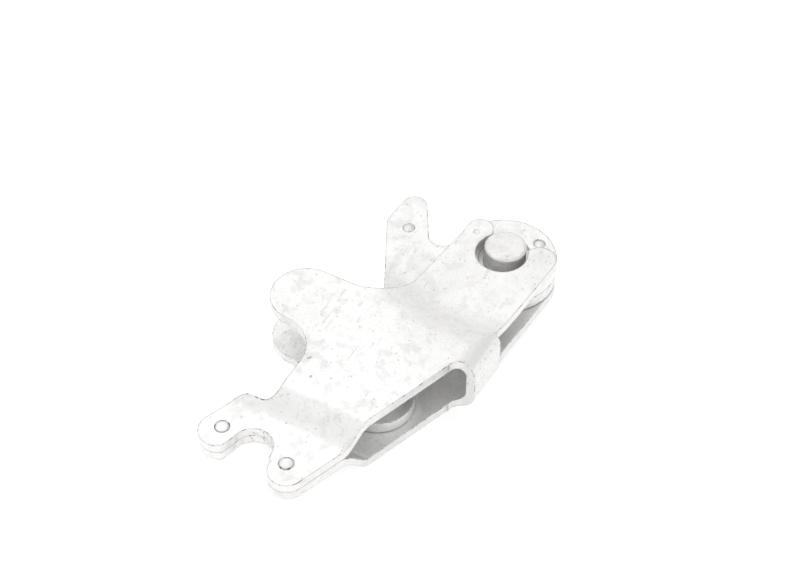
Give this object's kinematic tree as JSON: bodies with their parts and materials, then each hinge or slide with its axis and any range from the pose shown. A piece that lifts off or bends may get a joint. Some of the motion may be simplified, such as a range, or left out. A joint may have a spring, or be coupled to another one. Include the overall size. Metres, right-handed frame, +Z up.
{
  "type": "wire rope clip",
  "caption": "Galvanised plate clip with a fork, a folded bridge and a hooked lever that turns on a pin to grip a wire rope.",
  "frame": {"origin": "middle of the bounding box in plan, on the underside that the clip lies on", "axes": "+X along the clip from the fork to the pin end, +Y to the side with the hook and the lobes, +Z up through the plates"},
  "size_m": [0.1636, 0.0906, 0.027],
  "materials": {
    "shell_zinc": "hot dip galvanised, pale and mottled",
    "lever_zinc": "hot dip galvanised, pale and mottled",
    "pin_zinc": "hot dip galvanised, turned side, sawn ends",
    "rivet_zinc": "hot dip galvanised, hammered heads",
    "inner_steel": "dull galvanised"
  },
  "bodies": {
    "shell": {"folded_shell": "shell_zinc", "fork_rivets": "rivet_zinc"},
    "pin": {"pivot_pin": "pin_zinc"},
    "lever": {"lever_plate_upper": "lever_zinc", "lever_plate_lower": "lever_zinc", "hook_rivet": "rivet_zinc", "heel_rivet": "rivet_zinc", "grip_block": "inner_steel", "grip_rivets": "inner_steel", "spacer_sleeve": "inner_steel", "spacer_rivet": "inner_steel"}
  },
  "joints": [
    {"name": "pin_float", "type": "slide", "parent": "shell", "child": "pin", "axis": [-1, 0, 0], "range_m": [0, 0.0042]},
    {"name": "lever_pivot", "type": "hinge", "parent": "pin", "child": "lever", "pos_m": [0.06085, -0.02401, 0.0135], "axis": [0, 0, 1], "range_deg": [-226, 14]}
  ]
}
